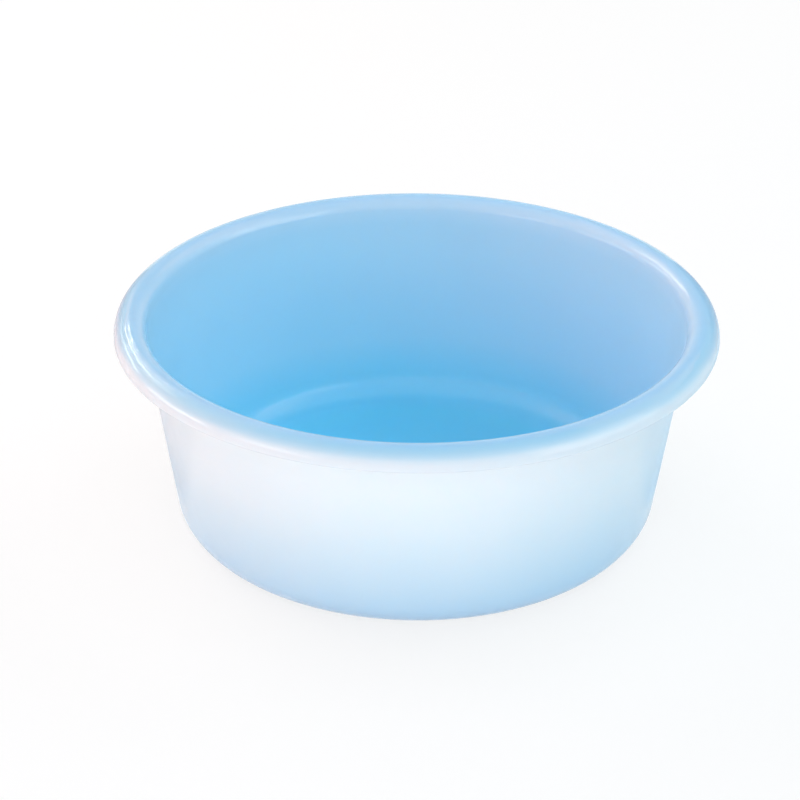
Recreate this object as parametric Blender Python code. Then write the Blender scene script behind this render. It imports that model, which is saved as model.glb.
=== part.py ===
"""A round wash bowl, moulded in one piece from translucent pale blue polypropylene.

The bowl is one solid of revolution about Z, drawn as half a section and spun. Its wall leans outwards at a
steady draft. At the top the same wall rolls over outwards and down into a hollow grip, open beneath. At the
bottom it turns through a soft heel onto a low foot ring, round a shallow crowned floor.

The origin is the centre of the foot ring's underside, on the surface that the bowl stands on.
Lengths are in metres and angles in radians. A section point is (distance from the axis, height).
"""

import math

import bmesh
import bpy

# Overall size
RIM_DIAMETER = 0.360
HEIGHT = 0.1355

# Wall of the bowl, one thickness from heel to lip
WALL = 0.0018
WALL_LEAN = math.radians(8.3)

# Rolled rim: the inner roll turns the wall over, the outer roll turns it down into a short skirt
INNER_ROLL_RADIUS = 0.0085
OUTER_ROLL_RADIUS = 0.0106
SKIRT_LENGTH = 0.0008
SKIRT_DRAFT = math.radians(3.0)

# Heel outside and cove inside, where the wall turns into the floor
HEEL_RADIUS = 0.0200
COVE_RADIUS = 0.0175

# Floor and foot
FLOOR_THICKNESS = 0.0022
FLOOR_CROWN = 0.0012
FOOT_HEIGHT = 0.0012
FOOT_WIDTH = 0.0040
FOOT_DRAFT = math.radians(25.0)

# Stub left by the moulding gate, at the centre of the underside
GATE_RADIUS = 0.0035
GATE_HEIGHT = 0.0007

# Smoothness of the mesh: a chord lies within the tolerance of the arc that it stands for
SEGMENTS = 72
ARC_TOLERANCE = 0.0001
CROWN_STEPS = 4
SHARP_ANGLE = math.radians(35.0)
MERGE_DISTANCE = 1e-6

# Plastic: sRGB colour as seen on the rim, and its finish
PLASTIC_COLOUR = (0.61, 0.81, 0.95)
PLASTIC_ROUGHNESS = 0.28
PLASTIC_IOR = 1.49

# Directions in the section, as angles from the one that points away from the axis
HALF_TURN = math.pi
INWARD = HALF_TURN
UP = HALF_TURN / 2
DOWN = -HALF_TURN / 2


def on_circle(centre, radius, angle):
    """The section point at an angle on a circle, with angle zero pointing away from the axis."""
    return (centre[0] + radius * math.cos(angle), centre[1] + radius * math.sin(angle))


def arc(centre, radius, start, end):
    """Section points along an arc, both ends included."""
    chord_angle = 2 * math.acos(1 - ARC_TOLERANCE / radius)
    steps = math.ceil(abs(end - start) / chord_angle)
    return [on_circle(centre, radius, start + (end - start) * i / steps) for i in range(steps + 1)]


def crest_radius():
    """The radius of the rim's crest, set in from the rim's edge by the outer roll and the skirt."""
    middle_of_skirt = RIM_DIAMETER / 2 - WALL / 2
    roll_width = (OUTER_ROLL_RADIUS - WALL / 2) * math.cos(SKIRT_DRAFT)
    return middle_of_skirt - roll_width - SKIRT_LENGTH * math.sin(SKIRT_DRAFT)


def inner_roll_centre():
    return (crest_radius(), HEIGHT - INNER_ROLL_RADIUS)


def outer_roll_centre():
    return (crest_radius(), HEIGHT - OUTER_ROLL_RADIUS)


def lip_centre():
    """The middle of the lip's rounded edge, where the skirt's middle line ends."""
    roll_end = on_circle(outer_roll_centre(), OUTER_ROLL_RADIUS - WALL / 2, SKIRT_DRAFT)
    return on_circle(roll_end, SKIRT_LENGTH, SKIRT_DRAFT + DOWN)


def inner_face_radius(height):
    """The radius of the wall's inner face, which leaves the inner roll on a tangent and leans in downwards."""
    top_radius, top_height = on_circle(inner_roll_centre(), INNER_ROLL_RADIUS, INWARD - WALL_LEAN)
    return top_radius - (top_height - height) * math.tan(WALL_LEAN)


def outer_face_radius(height):
    """The radius of the wall's outer face."""
    return inner_face_radius(height) + WALL / math.cos(WALL_LEAN)


def fillet_centre(face_radius, floor_height, radius):
    """The centre of the fillet that is tangent to a level floor and to one face of the leaning wall."""
    height = floor_height + radius
    return (face_radius(height) - radius / math.cos(WALL_LEAN), height)


def heel_centre():
    return fillet_centre(outer_face_radius, 0, HEEL_RADIUS)


def cove_centre():
    return fillet_centre(inner_face_radius, FOOT_HEIGHT + FLOOR_THICKNESS, COVE_RADIUS)


def foot_inner_radius():
    """The inner edge of the foot ring's flat underside. Its outer edge is where the heel meets the ground."""
    return heel_centre()[0] - FOOT_WIDTH


def recess_radius():
    """The radius of the recessed underside, inside the foot ring's sloping inner side."""
    return foot_inner_radius() - FOOT_HEIGHT * math.tan(FOOT_DRAFT)


def crowned(base_height, start_radius, end_radius):
    """Section points along a floor face, which rises from its edge to the middle as a shallow dome."""
    edge = recess_radius()
    points = []
    for i in range(CROWN_STEPS + 1):
        radius = start_radius + (end_radius - start_radius) * i / CROWN_STEPS
        points.append((radius, base_height + FLOOR_CROWN * (1 - (radius / edge) ** 2)))
    return points


def floor_top():
    return crowned(FOOT_HEIGHT + FLOOR_THICKNESS, 0, recess_radius())


def inside_and_rim():
    """The face that holds the water, then over the rim and down the outside of its skirt."""
    return (
        arc(cove_centre(), COVE_RADIUS, DOWN, -WALL_LEAN)
        + arc(inner_roll_centre(), INNER_ROLL_RADIUS, INWARD - WALL_LEAN, UP)
        + arc(outer_roll_centre(), OUTER_ROLL_RADIUS, UP, SKIRT_DRAFT)
    )


def lip_edge():
    return arc(lip_centre(), WALL / 2, SKIRT_DRAFT, SKIRT_DRAFT - HALF_TURN)


def grip_and_outside():
    """Up inside the skirt, back under the rolled rim, then down the outside of the wall and round the heel."""
    return (
        arc(outer_roll_centre(), OUTER_ROLL_RADIUS - WALL, SKIRT_DRAFT, UP)
        + arc(inner_roll_centre(), INNER_ROLL_RADIUS - WALL, UP, INWARD - WALL_LEAN)
        + arc(heel_centre(), HEEL_RADIUS, -WALL_LEAN, DOWN)
    )


def foot_and_underside():
    """In along the foot ring, up its inner side and across the recessed underside to the gate's stub."""
    gate_height = FOOT_HEIGHT + FLOOR_CROWN - GATE_HEIGHT
    return (
        [(foot_inner_radius(), 0)]
        + crowned(FOOT_HEIGHT, recess_radius(), GATE_RADIUS)
        + [(GATE_RADIUS, gate_height), (0, gate_height)]
    )


def without_repeats(points):
    """The points without any that repeats the one before it, as where two arcs meet on the crest."""
    kept = []
    for point in points:
        if not kept or math.dist(point, kept[-1]) > MERGE_DISTANCE:
            kept.append(point)
    return kept


def bowl_section():
    return without_repeats(
        floor_top() + inside_and_rim() + lip_edge() + grip_and_outside() + foot_and_underside()
    )


def revolved_mesh(name, section):
    """A closed mesh: the section's outline spun once round Z, with the points on the axis welded into one each."""
    shape = bmesh.new()
    verts = [shape.verts.new((radius, 0, height)) for radius, height in section]
    edges = [shape.edges.new(pair) for pair in zip(verts, verts[1:])]
    bmesh.ops.spin(
        shape,
        geom=verts + edges,
        cent=(0, 0, 0),
        axis=(0, 0, 1),
        angle=math.tau,
        steps=SEGMENTS,
        use_merge=True,
    )
    bmesh.ops.remove_doubles(shape, verts=shape.verts, dist=MERGE_DISTANCE)
    bmesh.ops.recalc_face_normals(shape, faces=shape.faces)
    mesh = bpy.data.meshes.new(name)
    shape.to_mesh(mesh)
    shape.free()
    mesh.shade_smooth()
    mesh.set_sharp_from_angle(angle=SHARP_ANGLE)
    return mesh


def linear(srgb):
    """A colour as Blender's shaders take it, from its sRGB values."""
    return tuple(((c + 0.055) / 1.055) ** 2.4 if c > 0.04045 else c / 12.92 for c in srgb)


def plastic():
    """Glossy translucent polypropylene in pale blue."""
    material = bpy.data.materials.new("pale_blue_plastic")
    material.use_nodes = True
    shader = material.node_tree.nodes["Principled BSDF"]
    shader.inputs["Base Color"].default_value = (*linear(PLASTIC_COLOUR), 1)
    shader.inputs["Metallic"].default_value = 0
    shader.inputs["Roughness"].default_value = PLASTIC_ROUGHNESS
    shader.inputs["IOR"].default_value = PLASTIC_IOR
    material.diffuse_color = (*linear(PLASTIC_COLOUR), 1)
    return material


def clear_scene():
    for item in list(bpy.data.objects):
        bpy.data.objects.remove(item)


def add_bowl():
    mesh = revolved_mesh("bowl", bowl_section())
    mesh.materials.append(plastic())
    bowl = bpy.data.objects.new("bowl", mesh)
    bpy.context.scene.collection.objects.link(bowl)


def main():
    clear_scene()
    add_bowl()


main()
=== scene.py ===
"""The looks of a pale blue plastic wash bowl: its moulded surface, its finish, a white studio and the camera.

The bowl is drawn as half a section, a point drawn on by straight strokes and arcs, and then spun round Z. The
distance along the section is kept on the mesh, so that the plastic's tint, with light and shade painted into
it, can follow it from the middle of the floor, up the inside, over the rolled rim and down the outside to the
gate's stub.

Lengths are in metres and angles in radians. A section point is (distance from the axis, height).
"""

import math
import bpy
from mathutils import Matrix, Vector


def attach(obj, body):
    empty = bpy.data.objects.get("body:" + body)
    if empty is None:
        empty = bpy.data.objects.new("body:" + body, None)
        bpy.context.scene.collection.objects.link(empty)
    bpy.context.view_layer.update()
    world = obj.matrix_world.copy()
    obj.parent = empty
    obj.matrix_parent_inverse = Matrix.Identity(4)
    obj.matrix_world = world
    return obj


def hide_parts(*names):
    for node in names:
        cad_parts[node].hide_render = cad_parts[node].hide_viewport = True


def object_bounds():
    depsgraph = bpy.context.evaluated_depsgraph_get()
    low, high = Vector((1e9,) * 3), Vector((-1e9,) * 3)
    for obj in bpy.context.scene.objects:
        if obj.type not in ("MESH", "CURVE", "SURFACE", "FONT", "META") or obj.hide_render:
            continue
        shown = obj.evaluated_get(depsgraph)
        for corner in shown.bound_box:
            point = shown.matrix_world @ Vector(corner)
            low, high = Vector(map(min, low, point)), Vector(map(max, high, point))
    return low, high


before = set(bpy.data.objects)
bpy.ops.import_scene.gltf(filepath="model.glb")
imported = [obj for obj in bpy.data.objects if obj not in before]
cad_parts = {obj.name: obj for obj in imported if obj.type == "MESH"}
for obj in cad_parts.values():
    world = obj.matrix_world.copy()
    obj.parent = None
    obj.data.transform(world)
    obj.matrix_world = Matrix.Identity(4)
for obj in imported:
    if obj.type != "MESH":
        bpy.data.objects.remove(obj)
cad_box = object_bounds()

RIM_RADIUS = cad_box[1].x
HEIGHT = cad_box[1].z

# Wall and rolled rim
WALL = 0.0018
WALL_LEAN = math.radians(8.3)
INNER_ROLL_RADIUS = 0.0085
OUTER_ROLL_RADIUS = 0.0106
SKIRT_LENGTH = 0.0008
SKIRT_DRAFT = math.radians(3.0)

# Heel, cove, floor and foot
HEEL_RADIUS = 0.0200
COVE_RADIUS = 0.0175
FLOOR_THICKNESS = 0.0022
FLOOR_CROWN = 0.0012
FOOT_HEIGHT = 0.0012
FOOT_WIDTH = 0.0040
FOOT_DRAFT = math.radians(25.0)
FOOT_EDGE_ROUNDING = 0.0003

# Stub of the moulding gate
GATE_RADIUS = 0.0035
GATE_HEIGHT = 0.0007

# Fineness of the mesh
TURN_STEPS = 240
ARC_STEP = math.radians(5.0)
STROKE_STEP = 0.006
WELD_DISTANCE = 1e-6
EDGE_ANGLE = math.radians(18.0)
EDGE_ROUNDING_SEGMENTS = 3

# Directions in the section, as angles from the one that points away from the axis
HALF_TURN = math.pi
INWARD = HALF_TURN
UP = HALF_TURN / 2
DOWN = -HALF_TURN / 2

# Camera: the photograph's frame, and where the centre of the rim lies in it before the camera's roll
FRAME_PIXELS = 800
RIM_CENTRE_PIXEL = (416.1, 306.5)
RIM_RADIUS_PIXELS = 302.1
CAMERA_DISTANCE = 1.44
CAMERA_ELEVATION = 0.4501
CAMERA_ROLL = 0.0067

# Plastic: how it bends and scatters light
REFRACTIVE_INDEX = 1.49
SCATTERED_SHARE = 0.6
SCATTER_REACH = 0.006
SCATTER_COLOUR = (0.7, 0.9, 1.0)

# Tint with painted light and shade: the plastic is one pale blue, and its colour along the section paints how
# light falls on it. Painted shade deepens the blue down the inside and over the crest, a painted highlight
# pales the ring at the floor's edge, painted light turns the outer roll and the outside of the wall milky,
# most of all just under the lip, and painted shade darkens the outside towards the heel. Each stop lies a
# share of the way from one stretch's end to another's, and its colour is in sRGB
SECTION_TINT_AND_PAINTED_LIGHT = [
    ("start", "floor", 0.00, (0.364, 0.750, 0.921)),
    ("start", "floor", 0.82, (0.425, 0.808, 0.975)),
    ("start", "floor", 0.96, (0.443, 0.825, 0.978)),
    ("floor edge", "cove", 0.35, (0.478, 0.822, 0.955)),
    ("cove", "inner wall", 0.00, (0.590, 0.832, 0.959)),
    ("cove", "inner wall", 0.21, (0.679, 0.842, 0.951)),
    ("cove", "inner wall", 0.53, (0.692, 0.832, 0.932)),
    ("cove", "inner wall", 0.92, (0.711, 0.834, 0.922)),
    ("inner wall", "crest", 0.05, (0.758, 0.848, 0.924)),
    ("inner wall", "crest", 0.40, (0.710, 0.812, 0.902)),
    ("inner wall", "crest", 0.85, (0.604, 0.757, 0.877)),
    ("crest", "outer roll", 0.10, (0.578, 0.750, 0.870)),
    ("crest", "outer roll", 0.33, (0.628, 0.782, 0.874)),
    ("crest", "outer roll", 0.52, (0.697, 0.810, 0.890)),
    ("crest", "outer roll", 0.64, (0.809, 0.866, 0.918)),
    ("crest", "outer roll", 0.80, (0.877, 0.901, 0.938)),
    ("lip", "channel inside", 0.00, (0.914, 0.942, 0.974)),
    ("channel inside", "outer wall", 0.14, (0.932, 0.957, 0.972)),
    ("channel inside", "outer wall", 0.50, (0.880, 0.922, 0.951)),
    ("channel inside", "outer wall", 0.93, (0.777, 0.858, 0.928)),
    ("outer wall", "heel", 0.30, (0.725, 0.826, 0.915)),
    ("heel", "gate", 1.00, (0.720, 0.825, 0.918)),
]

# Unevenness: scales in noise cells per metre, and how many finer layers of noise lie on each. The clouds'
# colours multiply the tint, the patches add to the roughness, and the waves and the grain are depths in metres
CLOUD_SCALE, CLOUD_DETAIL = 9.0, 3
CLOUD_DEEP = (0.97, 0.99, 0.995)
CLOUD_PALE = (1.03, 1.01, 1.005)
CLOUD_DEEP_BELOW = 0.3
CLOUD_PALE_ABOVE = 0.7
GLOSS_PATCH_SCALE, GLOSS_PATCH_DETAIL = 30.0, 4
GLOSS_PATCH_ROUGHNESS = 0.04
WAVE_SCALE, WAVE_DETAIL = 32.0, 2
WALL_WAVE_DEPTH = 0.0002
RIM_WAVE_DEPTH = 0.0009
GRAIN_SCALE, GRAIN_DETAIL = 700.0, 2
GRAIN_DEPTH = 0.00002

# Roughness of each stretch, and the share of the section over which the wall's surface turns into the rim's
WALL_ROUGHNESS = 0.20
RIM_ROUGHNESS = 0.07
FOOT_ROUGHNESS = 0.45
RIM_FADE = 0.004

# Studio lights, as name, azimuth, elevation, width, height, turn, watts, colour. Angles are in degrees, the
# azimuth from the camera's side round to the camera's right. Lamps light the bowl and don't show in its gloss
WHITE = (1, 1, 1)
LIGHT_DISTANCE = 1.8
LAMPS = [
    ("back_left_lamp", -133, 30, 1.6, 1.0, 0, 16.8, (1.00, 0.86, 0.78)),
    ("back_right_lamp", 125, 42, 1.4, 1.0, 0, 11.3, (0.87, 0.97, 1.00)),
    ("front_left_low_lamp", -38, 9, 1.4, 0.6, 0, 7.65, (0.96, 0.88, 0.82)),
    ("front_right_low_lamp", 42, 10, 1.2, 0.5, 0, 3.5, (0.45, 0.78, 1.00)),
    ("front_low_lamp", 0, 15, 1.26, 0.54, 0, 2.8, (0.82, 0.93, 1.00)),
    ("front_lamp", 0, 38, 1.26, 0.72, 0, 6.4, (0.91, 0.96, 1.00)),
    ("left_lamp", -90, 35, 1.4, 0.8, 0, 4.3, (1.00, 0.43, 0.32)),
    ("left_high_lamp", -90, 68, 1.2, 1.2, 0, 2.9, (1.00, 0.75, 0.88)),
    ("right_lamp", 75, 35, 1.6, 1.0, 0, 2.9, (0.00, 0.75, 1.00)),
    ("right_high_lamp", 90, 68, 1.2, 1.2, 0, 3.2, (0.44, 0.84, 1.00)),
    ("top_lamp", 0, 90, 1.08, 1.08, 0, 5.8, (0.86, 0.92, 1.00)),
]
# Panels only show in its gloss, as the windows and reflectors of a studio do
PANELS = [
    ("cove_panel", 67, 22, 1.6, 1.2, 0, 11.5, (1.00, 0.78, 0.60)),
    ("back_left_window", -131, 40, 1.9, 1.3, 0, 8.5, (1.00, 0.45, 0.12)),
    ("back_left_core", -134, 36, 0.95, 0.42, 0, 2.2, (1.00, 0.80, 0.60)),
    ("back_right_window", 120, 46, 2.0, 0.9, 0, 7.0, (1.00, 0.45, 0.12)),
    ("back_left_panel", -126, 16, 0.7, 0.14, -8, 1.1, WHITE),
    ("back_left_edge_panel", -137, 24, 0.40, 0.08, -30, 0.12, WHITE),
    ("back_left_high_panel", -139, 30, 0.75, 0.08, 40, 1.1, WHITE),
    ("back_left_end_panel", -154, 28.5, 0.36, 0.10, 0, 0.6, WHITE),
    ("back_left_low_panel", -140, 11, 0.40, 0.10, 0, 0.15, WHITE),
    ("left_panel", -91, 10, 0.95, 0.34, 0, 2.4, WHITE),
    ("front_left_panel", -49, 9, 1.0, 0.34, 0, 2.5, WHITE),
    ("front_right_panel", 52, 5, 0.7, 0.12, 0, 0.5, WHITE),
]
# Cards stand and lie behind the bowl, which only shows in its gloss that they aren't white. Each is flat, and
# given as name, lowest corner, highest corner, sRGB colour
CARDS = [
    ("back_right_card", (0.24, 0.38, 0.0), (0.66, 0.38, 0.26), (0.72, 0.72, 0.81)),
    ("floor_right_card", (0.16, -0.02, 0.001), (0.42, 0.38, 0.001), (0.79, 0.89, 0.97)),
    ("back_left_card", (-0.66, 0.38, 0.0), (-0.26, 0.38, 0.20), (0.77, 0.75, 0.81)),
    ("floor_left_card", (-0.42, -0.02, 0.001), (-0.16, 0.38, 0.001), (0.82, 0.85, 0.89)),
]
# Spot: a narrow lamp that warms the right of the inner wall
WALL_SPOT_FROM = (-1.22, -0.70, 0.99)
WALL_SPOT_AIM = (0.13, 0.08, 0.09)
WALL_SPOT_CONE = math.radians(10.5)
WALL_SPOT_RADIUS = 0.15
WALL_SPOT_WATTS = 12.0
WALL_SPOT_COLOUR = (1.0, 0.1, 0.15)
# Room and floor: what they cast on the bowl. Where they are seen, the room is plain white, and so is most of
# the floor: a share of it inside the shade radius, and all of it at twice that radius
ROOM_LIGHT = (0.20, 0.20, 0.20)
SWEEP_SIZE = 30
SWEEP_COLOUR = (0.90, 0.90, 0.90)
SWEEP_ROUGHNESS = 0.9
SWEEP_GLOSS = 0.2
SWEEP_PLAIN_SHARE = 0.8
SWEEP_SHADE_RADIUS = 0.8


def on_circle(centre, radius, angle):
    return (centre[0] + radius * math.cos(angle), centre[1] + radius * math.sin(angle))


def crest_radius():
    """The radius of the rim's crest, set in from the rim's edge by the outer roll and the skirt."""
    roll_width = (OUTER_ROLL_RADIUS - WALL / 2) * math.cos(SKIRT_DRAFT)
    return RIM_RADIUS - WALL / 2 - roll_width - SKIRT_LENGTH * math.sin(SKIRT_DRAFT)


def inner_roll_centre():
    return (crest_radius(), HEIGHT - INNER_ROLL_RADIUS)


def outer_roll_centre():
    return (crest_radius(), HEIGHT - OUTER_ROLL_RADIUS)


def lip_centre():
    roll_end = on_circle(outer_roll_centre(), OUTER_ROLL_RADIUS - WALL / 2, SKIRT_DRAFT)
    return on_circle(roll_end, SKIRT_LENGTH, SKIRT_DRAFT + DOWN)


def inner_face_radius(height):
    top_radius, top_height = on_circle(inner_roll_centre(), INNER_ROLL_RADIUS, INWARD - WALL_LEAN)
    return top_radius - (top_height - height) * math.tan(WALL_LEAN)


def outer_face_radius(height):
    return inner_face_radius(height) + WALL / math.cos(WALL_LEAN)


def fillet_centre(face_radius, floor_height, radius):
    """The centre of the fillet that is tangent to a level floor and to one face of the leaning wall."""
    height = floor_height + radius
    return (face_radius(height) - radius / math.cos(WALL_LEAN), height)


def heel_centre():
    return fillet_centre(outer_face_radius, 0, HEEL_RADIUS)


def cove_centre():
    return fillet_centre(inner_face_radius, FOOT_HEIGHT + FLOOR_THICKNESS, COVE_RADIUS)


def foot_inner_radius():
    return heel_centre()[0] - FOOT_WIDTH


def recess_radius():
    return foot_inner_radius() - FOOT_HEIGHT * math.tan(FOOT_DRAFT)


def crown_rise(radius):
    """How far the shallow dome of the floor stands above its edge."""
    return FLOOR_CROWN * (1 - (radius / recess_radius()) ** 2)


class Pen:
    """Draws the section in edit mode, from its last point on, and notes where each named stretch ends."""

    def __init__(self, start):
        bpy.ops.mesh.primitive_plane_add(size=WALL, location=(start[0], 0, start[1]))
        self.item = bpy.context.object
        bpy.ops.object.transform_apply(location=True, rotation=False, scale=False)
        bpy.ops.object.mode_set(mode="EDIT")
        bpy.ops.mesh.select_all(action="SELECT")
        bpy.ops.mesh.merge(type="CENTER")
        # Out of edit mode and back, so that new points are numbered in the order in which they are drawn
        bpy.ops.object.mode_set(mode="OBJECT")
        bpy.ops.object.mode_set(mode="EDIT")
        self.at = start
        self.points = 1
        self.ends = {"start": 0}

    def step(self, point):
        move = (point[0] - self.at[0], 0, point[1] - self.at[1])
        bpy.ops.mesh.extrude_region_move(TRANSFORM_OT_translate={"value": move})
        self.at = point
        self.points += 1

    def stroke(self, name, end):
        """A straight stretch to a point."""
        start = self.at
        steps = math.ceil(math.dist(start, end) / STROKE_STEP)
        for i in range(1, steps + 1):
            share = i / steps
            self.step(tuple(a + (b - a) * share for a, b in zip(start, end)))
        self.ends[name] = self.points - 1

    def arc(self, name, centre, radius, start, end):
        """An arc of a circle, from where the pen is to the end angle."""
        steps = math.ceil(abs(end - start) / ARC_STEP)
        bpy.ops.mesh.spin(
            steps=steps,
            angle=end - start,
            center=(centre[0], 0, centre[1]),
            axis=(0, 1, 0),
        )
        self.at = on_circle(centre, radius, end)
        self.points += steps
        self.ends[name] = self.points - 1

    def dome(self, name, base_height, end_radius):
        """A stretch of the crowned floor to a radius."""
        start_radius = self.at[0]
        steps = math.ceil(abs(end_radius - start_radius) / STROKE_STEP)
        for i in range(1, steps + 1):
            radius = start_radius + (end_radius - start_radius) * i / steps
            self.step((radius, base_height + crown_rise(radius)))
        self.ends[name] = self.points - 1


def draw_inside(pen):
    """The floor's top, the cove and the inner face of the wall, up to the rolled rim."""
    pen.dome("floor", FOOT_HEIGHT + FLOOR_THICKNESS, recess_radius())
    pen.stroke("floor edge", (cove_centre()[0], FOOT_HEIGHT + FLOOR_THICKNESS))
    pen.arc("cove", cove_centre(), COVE_RADIUS, DOWN, -WALL_LEAN)
    pen.stroke("inner wall", on_circle(inner_roll_centre(), INNER_ROLL_RADIUS, INWARD - WALL_LEAN))


def draw_rim(pen):
    """Over the crest, down the skirt, round the lip and back up the inside of the channel."""
    pen.arc("crest", inner_roll_centre(), INNER_ROLL_RADIUS, INWARD - WALL_LEAN, UP)
    pen.arc("outer roll", outer_roll_centre(), OUTER_ROLL_RADIUS, UP, SKIRT_DRAFT)
    pen.stroke("skirt", on_circle(lip_centre(), WALL / 2, SKIRT_DRAFT))
    pen.arc("lip", lip_centre(), WALL / 2, SKIRT_DRAFT, SKIRT_DRAFT - HALF_TURN)
    channel_outside = OUTER_ROLL_RADIUS - WALL
    pen.stroke("inside of skirt", on_circle(outer_roll_centre(), channel_outside, SKIRT_DRAFT))
    pen.arc("channel outside", outer_roll_centre(), channel_outside, SKIRT_DRAFT, UP)
    pen.arc("channel inside", inner_roll_centre(), INNER_ROLL_RADIUS - WALL, UP, INWARD - WALL_LEAN)


def draw_outside(pen):
    """Down the outer face of the wall, round the heel, under the foot and across the underside to the gate."""
    pen.stroke("outer wall", on_circle(heel_centre(), HEEL_RADIUS, -WALL_LEAN))
    pen.arc("heel", heel_centre(), HEEL_RADIUS, -WALL_LEAN, DOWN)
    pen.stroke("foot", (foot_inner_radius(), 0))
    pen.stroke("foot side", (recess_radius(), FOOT_HEIGHT))
    pen.dome("underside", FOOT_HEIGHT, GATE_RADIUS)
    gate_tip = FOOT_HEIGHT + FLOOR_CROWN - GATE_HEIGHT
    pen.stroke("gate side", (GATE_RADIUS, gate_tip))
    pen.stroke("gate", (0, gate_tip))


def mark_distances(mesh, ends):
    """Writes how far along the section each point lies, as a share of its length. Returns the ends' shares."""
    reached = [0.0]
    for before, after in zip(mesh.vertices, mesh.vertices[1:]):
        reached.append(reached[-1] + (after.co - before.co).length)
    along = mesh.attributes.new("along", "FLOAT", "POINT")
    along.data.foreach_set("value", [distance / reached[-1] for distance in reached])
    return {name: reached[point] / reached[-1] for name, point in ends.items()}


def spin_section():
    """Turns the drawn section into a closed body, with faces outwards and edges on the axis welded."""
    bpy.ops.object.mode_set(mode="EDIT")
    bpy.ops.mesh.select_all(action="SELECT")
    bpy.ops.mesh.spin(steps=TURN_STEPS, angle=math.tau, center=(0, 0, 0), axis=(0, 0, 1))
    bpy.ops.mesh.select_all(action="SELECT")
    bpy.ops.mesh.remove_doubles(threshold=WELD_DISTANCE)
    bpy.ops.mesh.normals_make_consistent(inside=False)
    bpy.ops.object.mode_set(mode="OBJECT")


def round_edges(item):
    """Rounds the foot ring's and the gate stub's edges, the only ones that the arcs leave sharp."""
    bevel = item.modifiers.new("edge rounding", "BEVEL")
    bevel.width = FOOT_EDGE_ROUNDING
    bevel.segments = EDGE_ROUNDING_SEGMENTS
    bevel.limit_method = "ANGLE"
    bevel.angle_limit = EDGE_ANGLE
    bpy.ops.object.modifier_apply(modifier=bevel.name)


def make_bowl():
    """The bowl's fine mesh and the shares of the section at which its stretches end."""
    bpy.ops.object.select_all(action="DESELECT")
    pen = Pen((0, FOOT_HEIGHT + FLOOR_THICKNESS + FLOOR_CROWN))
    draw_inside(pen)
    draw_rim(pen)
    draw_outside(pen)
    bpy.ops.object.mode_set(mode="OBJECT")
    bowl = pen.item
    bowl.name = bowl.data.name = "moulded_bowl"
    shares = mark_distances(bowl.data, pen.ends)
    spin_section()
    round_edges(bowl)
    bpy.ops.object.shade_smooth_by_angle(angle=EDGE_ANGLE)
    return bowl, shares


def linear(srgb):
    """A colour as the shaders take it, from its sRGB values."""
    return tuple(((c + 0.055) / 1.055) ** 2.4 if c > 0.04045 else c / 12.92 for c in srgb)


def section_tint_and_painted_light_stops(shares):
    """The stops of the tint, with its painted light and shade, along the section, as position and linear
    colour.
    """
    stops = []
    for first, last, share, colour in SECTION_TINT_AND_PAINTED_LIGHT:
        stops.append((shares[first] + (shares[last] - shares[first]) * share, linear(colour)))
    return stops


def rim_stops(shares, wall_value, rim_value):
    """A value along the section that is the rim's own from the top of the inner wall to the lip."""
    return [
        (0.0, wall_value),
        (shares["inner wall"] - 2 * RIM_FADE, wall_value),
        (shares["inner wall"] + RIM_FADE, rim_value),
        (shares["lip"], rim_value),
        (shares["lip"] + RIM_FADE, wall_value),
    ]


def roughness_stops(shares):
    """How dull the plastic is along the section: hands polish the rim, and worktops wear the foot."""
    return rim_stops(shares, WALL_ROUGHNESS, RIM_ROUGHNESS) + [
        (shares["heel"], WALL_ROUGHNESS),
        (shares["foot"], FOOT_ROUGHNESS),
        (1.0, FOOT_ROUGHNESS),
    ]


def wave_stops(shares):
    """How deep the slow waves in the surface are along the section: a rolled rim shrinks most unevenly."""
    return rim_stops(shares, WALL_WAVE_DEPTH, RIM_WAVE_DEPTH) + [(1.0, WALL_WAVE_DEPTH)]


def arithmetic(tree, operation, *values):
    """The output of a Math node on sockets or plain numbers."""
    node = tree.nodes.new("ShaderNodeMath")
    node.operation = operation
    for socket, value in zip(node.inputs, values):
        if isinstance(value, (int, float)):
            socket.default_value = value
        else:
            tree.links.new(value, socket)
    return node.outputs[0]


def noise(tree, place, scale, detail):
    """A noise value, about one half on average."""
    node = tree.nodes.new("ShaderNodeTexNoise")
    node.inputs["Scale"].default_value = scale
    node.inputs["Detail"].default_value = detail
    tree.links.new(place, node.inputs["Vector"])
    return node.outputs["Fac"]


def grey(stops):
    """Plain numbers as the colours of a ramp."""
    return [(position, (value, value, value)) for position, value in stops]


def ramp(tree, factor, stops):
    """A colour ramp through the stops, given as position and linear colour."""
    node = tree.nodes.new("ShaderNodeValToRGB")
    points = node.color_ramp.elements
    points[0].position = stops[0][0]
    points[1].position = stops[-1][0]
    for position, _ in stops[1:-1]:
        points.new(position)
    for point, (_, colour) in zip(points, stops):
        point.color = (*colour, 1)
    tree.links.new(factor, node.inputs["Fac"])
    return node.outputs["Color"]


def multiplied(tree, first, second):
    """The product of two colours."""
    node = tree.nodes.new("ShaderNodeVectorMath")
    node.operation = "MULTIPLY"
    tree.links.new(first, node.inputs[0])
    tree.links.new(second, node.inputs[1])
    return node.outputs["Vector"]


def bumped(tree, height, distance, under=None):
    """A normal from a height, on top of another bump's normal if there is one."""
    node = tree.nodes.new("ShaderNodeBump")
    node.inputs["Distance"].default_value = distance
    tree.links.new(height, node.inputs["Height"])
    if under is not None:
        tree.links.new(under, node.inputs["Normal"])
    return node.outputs["Normal"]


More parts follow.
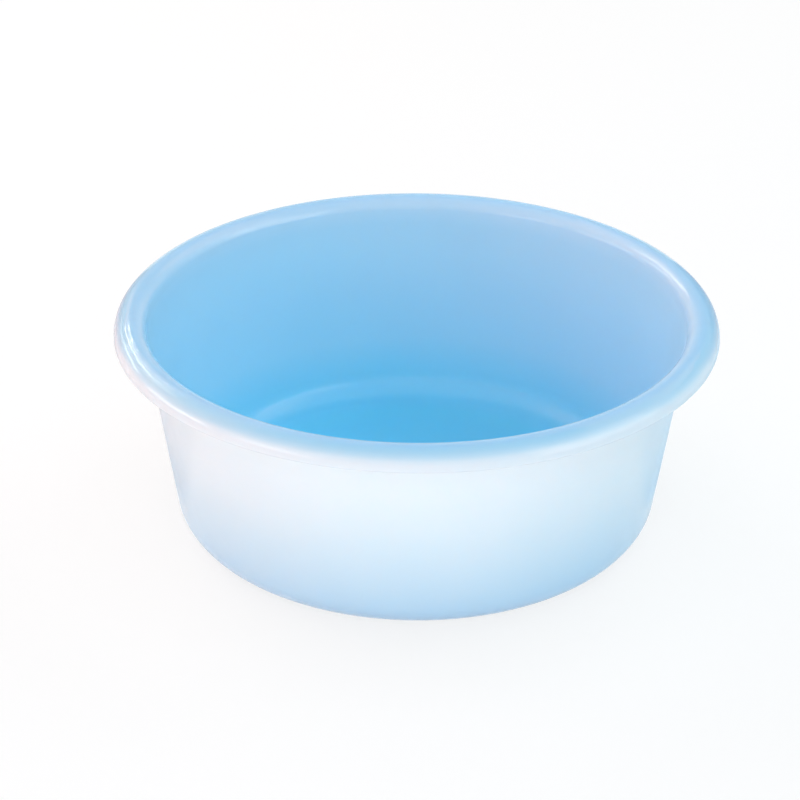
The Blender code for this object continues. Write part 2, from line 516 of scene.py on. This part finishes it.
def plastic(shares):
    """Glossy, slightly translucent polypropylene, a little uneven in tint, gloss and flatness, with light and
    shade painted into its tint along the section.
    """
    material = bpy.data.materials.new("milky_blue_polypropylene")
    material.use_nodes = True
    tree = material.node_tree
    shader = tree.nodes["Principled BSDF"]
    shader.inputs["IOR"].default_value = REFRACTIVE_INDEX
    shader.inputs["Subsurface Weight"].default_value = SCATTERED_SHARE
    shader.inputs["Subsurface Radius"].default_value = SCATTER_COLOUR
    shader.inputs["Subsurface Scale"].default_value = SCATTER_REACH
    distance = tree.nodes.new("ShaderNodeAttribute")
    distance.attribute_name = "along"
    along = distance.outputs["Fac"]
    place = tree.nodes.new("ShaderNodeTexCoord").outputs["Object"]

    # Tint: it follows the section, with painted light and shade in it, and faint clouds in the pigment
    tint_with_painted_light = ramp(tree, along, section_tint_and_painted_light_stops(shares))
    clouds = ramp(
        tree,
        noise(tree, place, CLOUD_SCALE, CLOUD_DETAIL),
        [(CLOUD_DEEP_BELOW, CLOUD_DEEP), (CLOUD_PALE_ABOVE, CLOUD_PALE)],
    )
    tree.links.new(multiplied(tree, tint_with_painted_light, clouds), shader.inputs["Base Color"])

    # Gloss: uneven in patches
    patches = noise(tree, place, GLOSS_PATCH_SCALE, GLOSS_PATCH_DETAIL)
    dullness = ramp(tree, along, grey(roughness_stops(shares)))
    dullness = arithmetic(tree, "MULTIPLY_ADD", patches, GLOSS_PATCH_ROUGHNESS, dullness)
    tree.links.new(dullness, shader.inputs["Roughness"])

    # Flatness: slow waves from uneven shrinking, and a fine grain
    depth = ramp(tree, along, grey(wave_stops(shares)))
    waves = arithmetic(tree, "MULTIPLY", noise(tree, place, WAVE_SCALE, WAVE_DETAIL), depth)
    wavy = bumped(tree, waves, 1.0)
    grain = noise(tree, place, GRAIN_SCALE, GRAIN_DETAIL)
    tree.links.new(bumped(tree, grain, GRAIN_DEPTH, wavy), shader.inputs["Normal"])
    return material


def seen_directly(tree):
    """One where a surface is seen, be it mirrored or through plastic, and zero where it only casts light."""
    path = tree.nodes.new("ShaderNodeLightPath").outputs
    mirrored = arithmetic(tree, "MAXIMUM", path["Is Camera Ray"], path["Is Glossy Ray"])
    return arithmetic(tree, "MAXIMUM", mirrored, path["Is Transmission Ray"])


def cast_or_seen(tree, cast, seen, seen_share):
    """A surface that lights the rest as one shader does, and is seen, by a share, as another."""
    mix = tree.nodes.new("ShaderNodeMixShader")
    tree.links.new(seen_share, mix.inputs["Fac"])
    tree.links.new(cast, mix.inputs[1])
    tree.links.new(seen, mix.inputs[2])
    return mix.outputs["Shader"]


def plain_share(tree):
    """How much of the floor is seen as plain white: more, the further it lies from the bowl."""
    distance = tree.nodes.new("ShaderNodeVectorMath")
    distance.operation = "LENGTH"
    tree.links.new(tree.nodes.new("ShaderNodeTexCoord").outputs["Object"], distance.inputs[0])
    share = tree.nodes.new("ShaderNodeMapRange")
    share.inputs["From Min"].default_value = SWEEP_SHADE_RADIUS
    share.inputs["From Max"].default_value = 2 * SWEEP_SHADE_RADIUS
    share.inputs["To Min"].default_value = SWEEP_PLAIN_SHARE
    share.inputs["To Max"].default_value = 1
    tree.links.new(distance.outputs["Value"], share.inputs["Value"])
    return share.outputs["Result"]


def white_sweep():
    """The floor: it lights the bowl as matt paper does, and is seen as white with a soft shadow on it."""
    material = bpy.data.materials.new("white_sweep")
    material.use_nodes = True
    tree = material.node_tree
    paper = tree.nodes["Principled BSDF"]
    paper.inputs["Base Color"].default_value = (*SWEEP_COLOUR, 1)
    paper.inputs["Roughness"].default_value = SWEEP_ROUGHNESS
    paper.inputs["Specular IOR Level"].default_value = SWEEP_GLOSS
    plain = tree.nodes.new("ShaderNodeEmission")
    plain.inputs["Color"].default_value = (*WHITE, 1)
    seen_share = arithmetic(tree, "MULTIPLY", seen_directly(tree), plain_share(tree))
    surface = cast_or_seen(tree, paper.outputs["BSDF"], plain.outputs["Emission"], seen_share)
    tree.links.new(surface, tree.nodes["Material Output"].inputs["Surface"])
    return material


def add_floor():
    bpy.ops.object.select_all(action="DESELECT")
    bpy.ops.mesh.primitive_plane_add(size=SWEEP_SIZE, location=(0, 0, 0))
    floor = bpy.context.object
    floor.name = "sweep"
    floor.data.materials.append(white_sweep())


def card_paint(colour):
    """An even colour that gives no shade, as a card under its own light."""
    material = bpy.data.materials.new("card_paint")
    material.use_nodes = True
    tree = material.node_tree
    paint = tree.nodes.new("ShaderNodeEmission")
    paint.inputs["Color"].default_value = (*linear(colour), 1)
    tree.links.new(paint.outputs["Emission"], tree.nodes["Material Output"].inputs["Surface"])
    return material


def add_card(name, lowest, highest, colour):
    """A flat coloured card that shows in the bowl's gloss alone."""
    upright = lowest[2] != highest[2]
    bpy.ops.object.select_all(action="DESELECT")
    bpy.ops.mesh.primitive_plane_add(
        size=1,
        location=[(a + b) / 2 for a, b in zip(lowest, highest)],
        rotation=(HALF_TURN / 2 if upright else 0, 0, 0),
    )
    card = bpy.context.object
    card.name = name
    bpy.ops.object.transform_apply(location=False, rotation=True, scale=False)
    bpy.ops.object.mode_set(mode="EDIT")
    bpy.ops.mesh.select_all(action="SELECT")
    size = [b - a if b > a else 1 for a, b in zip(lowest, highest)]
    bpy.ops.transform.resize(value=size)
    bpy.ops.object.mode_set(mode="OBJECT")
    card.visible_camera = False
    card.visible_diffuse = False
    card.visible_transmission = False
    card.visible_shadow = False
    card.data.materials.append(card_paint(colour))


def add_light(name, azimuth, elevation, width, height, turn, watts, colour):
    """A soft light aimed at the bowl and turned about its own axis."""
    data = bpy.data.lights.new(name, "AREA")
    data.shape = "RECTANGLE"
    data.size = width
    data.size_y = height
    data.energy = watts
    data.color = colour
    light = bpy.data.objects.new(name, data)
    bpy.context.scene.collection.objects.link(light)
    round_bowl = math.radians(azimuth)
    rise = math.radians(elevation)
    level = math.cos(rise)
    away = Vector((math.sin(round_bowl) * level, -math.cos(round_bowl) * level, math.sin(rise)))
    light.location = Vector((0, 0, HEIGHT / 2)) + away * LIGHT_DISTANCE
    light.rotation_euler = away.to_track_quat("Z", "Y").to_euler()
    light.rotation_euler.rotate_axis("Z", math.radians(turn))
    return light


def add_wall_spot():
    """A snooted lamp that warms the right of the inner wall, from over the bowl's front left."""
    data = bpy.data.lights.new("wall_spot", "SPOT")
    data.energy = WALL_SPOT_WATTS
    data.color = WALL_SPOT_COLOUR
    data.spot_size = WALL_SPOT_CONE
    data.spot_blend = 1
    data.shadow_soft_size = WALL_SPOT_RADIUS
    spot = bpy.data.objects.new("wall_spot", data)
    bpy.context.scene.collection.objects.link(spot)
    away = (Vector(WALL_SPOT_FROM) - Vector(WALL_SPOT_AIM)).normalized()
    spot.location = WALL_SPOT_FROM
    spot.rotation_euler = away.to_track_quat("Z", "Y").to_euler()
    spot.visible_glossy = False


def light_room():
    """The world: a weak grey as a light, plain white where it is seen."""
    world = bpy.data.worlds.new("white_room")
    bpy.context.scene.world = world
    world.use_nodes = True
    tree = world.node_tree
    room = tree.nodes["Background"]
    room.inputs["Color"].default_value = (*ROOM_LIGHT, 1)
    plain = tree.nodes.new("ShaderNodeBackground")
    plain.inputs["Color"].default_value = (*WHITE, 1)
    surface = cast_or_seen(tree, room.outputs["Background"], plain.outputs["Background"], seen_directly(tree))
    tree.links.new(surface, tree.nodes["World Output"].inputs["Surface"])


def light_studio():
    for lamp in LAMPS:
        add_light(*lamp).visible_glossy = False
    for panel in PANELS:
        add_light(*panel).visible_diffuse = False
    add_wall_spot()
    for card in CARDS:
        add_card(*card)
    light_room()


def add_camera():
    """Looks at the bowl as the photograph does, so that the rim's centre lies on its pixel."""
    focal_pixels = RIM_RADIUS_PIXELS * CAMERA_DISTANCE / RIM_RADIUS
    data = bpy.data.cameras.new("studio_camera")
    data.lens = data.sensor_width * focal_pixels / FRAME_PIXELS
    camera = bpy.data.objects.new("studio_camera", data)
    bpy.context.scene.collection.objects.link(camera)
    bpy.context.scene.camera = camera
    rim_centre = Vector((0, 0, HEIGHT))
    back = Vector((0, -math.cos(CAMERA_ELEVATION), math.sin(CAMERA_ELEVATION)))
    level = back.to_track_quat("Z", "Y").to_matrix()
    right = (RIM_CENTRE_PIXEL[0] - FRAME_PIXELS / 2) / focal_pixels
    up = (FRAME_PIXELS / 2 - RIM_CENTRE_PIXEL[1]) / focal_pixels
    pan = Matrix.Rotation(math.atan(right), 3, "Y")
    tilt = Matrix.Rotation(-math.atan(up), 3, "X")
    roll = Matrix.Rotation(CAMERA_ROLL, 3, "Z")
    camera.matrix_world = Matrix.Translation(rim_centre + back * CAMERA_DISTANCE) @ (
        (level @ pan @ tilt @ roll).to_4x4()
    )


def main():
    bowl, shares = make_bowl()
    bowl.data.materials.append(plastic(shares))
    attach(bowl, "root")
    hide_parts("bowl")
    add_floor()
    light_studio()
    add_camera()
    bpy.context.scene.view_settings.view_transform = "Standard"


main()
